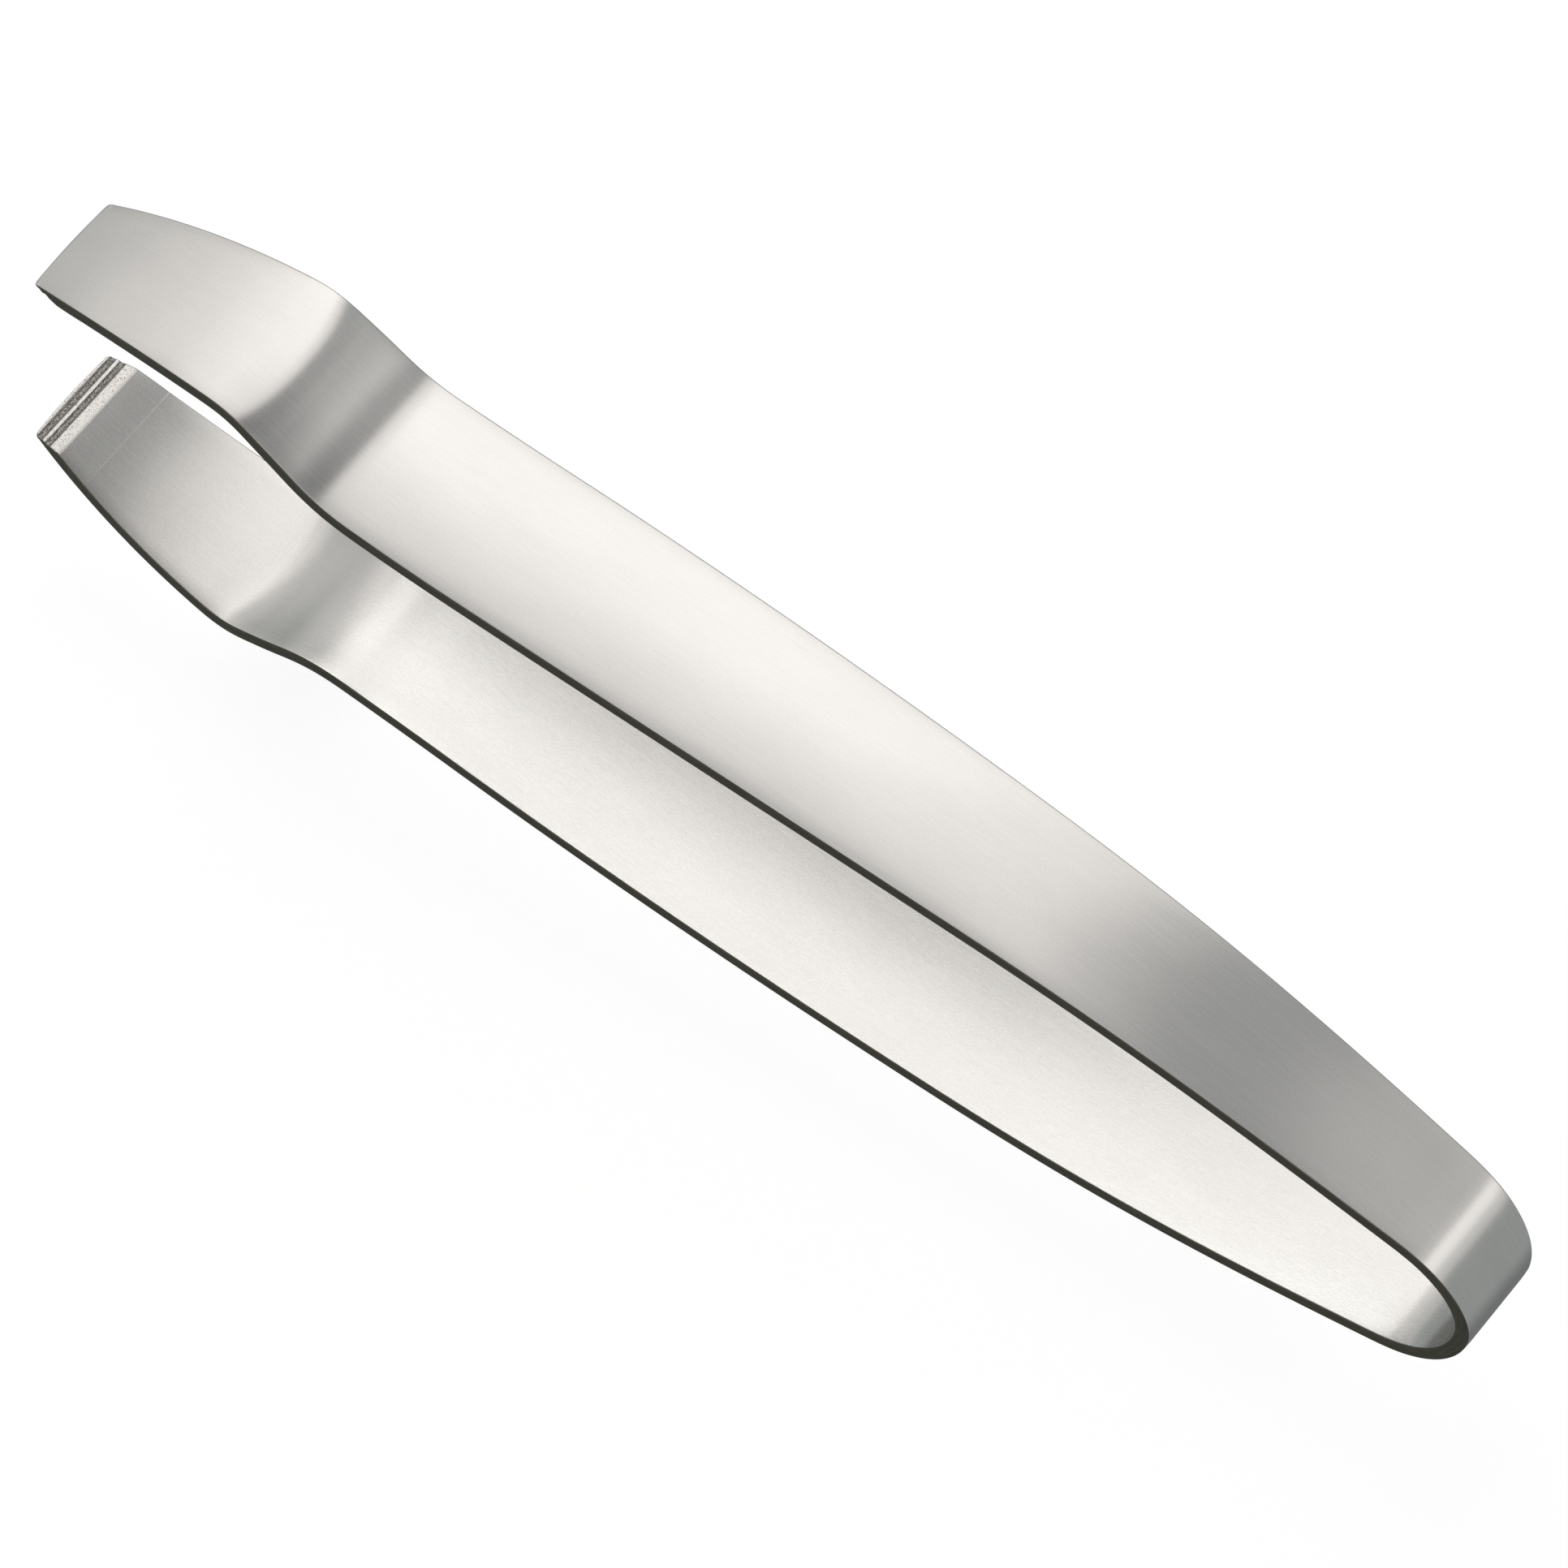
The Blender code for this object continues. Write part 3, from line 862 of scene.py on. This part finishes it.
def set_up(box):
    """A soft box that faces its target and stays out of the picture."""
    lamp = bpy.data.lights.new(box.name, "AREA")
    lamp.shape = "RECTANGLE"
    lamp.size, lamp.size_y = box.width, box.height
    lamp.energy = box.brightness * math.pi * box.width * box.height
    lamp.color = box.cloth
    holder = bpy.data.objects.new(box.name, lamp)
    holder.location = box.centre
    aim = Vector(box.target) - Vector(box.centre)
    holder.rotation_euler = aim.to_track_quat("-Z", "Y").to_euler()
    holder.visible_camera = False
    bpy.context.scene.collection.objects.link(holder)


for box in SOFT_BOXES:
    set_up(box)
    print(f"{box.name}: {box.width:g} x {box.height:g} m, brightness {box.brightness:g}")

# %% [markdown]
# The room around is an even grey, darker and a touch greener below. A black flag high up on the right takes
# light from the near side of the neck. Light that has already met steel once finds a bright card below on the
# left: it brightens the underside of the upper arm, which the lower arm mirrors. The rest of the room is
# dimmer for such light, so the inside of the bow falls into shade.
#
# Card and flag could be planes that hang in the scene, but as soft patches of the room itself they are only
# seen in the steel, and each is moved by changing one direction.

# %% The room
ROOM_LIGHT = 0.42
ROOM_LIGHT_BELOW = 0.22
DIMMER_BETWEEN = (-0.85, -0.60)
ROOM_COLOUR = (0.97, 1.0, 1.0, 1.0)
ROOM_COLOUR_BELOW = (0.93, 1.0, 0.985, 1.0)
GREENER_BETWEEN = (0.0, 0.6)
SECOND_GLANCE = 2.5
SECOND_GLANCE_LIGHT = 0.5
Patch = namedtuple("Patch", "towards rim heart strength")
CARD = Patch(Vector((-0.50, 0.28, -0.82)), 0.77, 0.90, 4.5)
FLAG = Patch(Vector((0.43, -0.03, 0.90)), 0.966, 0.995, -0.65)

world = bpy.data.worlds.new("studio")
bpy.context.scene.world = world
world.use_nodes = True
tree = world.node_tree
direction = add(tree, "ShaderNodeTexCoord").outputs["Generated"]
height = add(tree, "ShaderNodeSeparateXYZ", {0: direction}).outputs["Z"]


def room_patch(patch):
    """A soft round patch of the room: its strength at its heart and 0 past its rim, both given as cosines."""
    vectors = {0: direction, 1: patch.towards.normalized()}
    nearness = add(tree, "ShaderNodeVectorMath", vectors, operation="DOT_PRODUCT").outputs["Value"]
    inputs = {"Value": nearness, "From Min": patch.rim, "From Max": patch.heart, "To Max": patch.strength}
    return add(tree, "ShaderNodeMapRange", inputs, interpolation_type="SMOOTHSTEP").outputs["Result"]


room = spread(tree, height, ROOM_LIGHT_BELOW, ROOM_LIGHT, *DIMMER_BETWEEN)
room = sum_of(tree, "MULTIPLY_ADD", room_patch(FLAG), room, room)
glances = add(tree, "ShaderNodeLightPath").outputs["Ray Depth"]
second_glance = sum_of(tree, "GREATER_THAN", glances, SECOND_GLANCE)
dimmed = sum_of(tree, "MULTIPLY", second_glance, SECOND_GLANCE_LIGHT - 1.0)
room = sum_of(tree, "MULTIPLY_ADD", dimmed, room, room)
brightness = sum_of(tree, "MULTIPLY_ADD", room_patch(CARD), second_glance, room)
tree.links.new(brightness, tree.nodes["Background"].inputs["Strength"])
high_up = spread(tree, height, 0.0, 1.0, *GREENER_BETWEEN)
room_colour = colour_mix(tree, high_up, ROOM_COLOUR_BELOW, ROOM_COLOUR)
tree.links.new(room_colour, tree.nodes["Background"].inputs["Color"])
bpy.context.scene.view_settings.view_transform = "Standard"
print("room light:", ROOM_LIGHT, "and", ROOM_LIGHT_BELOW, "below")

# %% [markdown]
# ## The camera
#
# The photograph was taken with a long lens from high above the bow end, a little to the right. The angle, the
# distance and the lens were found by matching the outline of the strip, and they are set here as they are.

# %% The camera
CAMERA_AZIMUTH = 34.592
CAMERA_ELEVATION = 60.402
CAMERA_ROLL = 2.487
CAMERA_DISTANCE = 853.29 * MM
CAMERA_AIM = Vector((0.615, 0.860, 16.7)) * MM
CAMERA_LENS = 258.80
CAMERA_SENSOR = 36.0
CAMERA_SEES = (0.05, 20.0)

azimuth, elevation = math.radians(CAMERA_AZIMUTH), math.radians(CAMERA_ELEVATION)
back = Vector((
    math.sin(azimuth) * math.cos(elevation),
    -math.cos(azimuth) * math.cos(elevation),
    math.sin(elevation),
))
level_right = Vector((math.cos(azimuth), math.sin(azimuth), 0.0))
level_up = back.cross(level_right)
roll = math.radians(CAMERA_ROLL)
right = level_right * math.cos(roll) + level_up * math.sin(roll)
turn = Matrix((right, back.cross(right), back)).transposed().to_4x4()
lens = bpy.data.cameras.new("camera")
lens.lens = CAMERA_LENS
lens.sensor_width = CAMERA_SENSOR
lens.clip_start, lens.clip_end = CAMERA_SEES
camera = bpy.data.objects.new("camera", lens)
camera.matrix_world = Matrix.Translation(CAMERA_AIM + back * CAMERA_DISTANCE) @ turn
bpy.context.scene.collection.objects.link(camera)
bpy.context.scene.camera = camera
print(f"the camera stands {CAMERA_DISTANCE / MM:.0f} mm from its aim, {CAMERA_ELEVATION:.1f} degrees up")
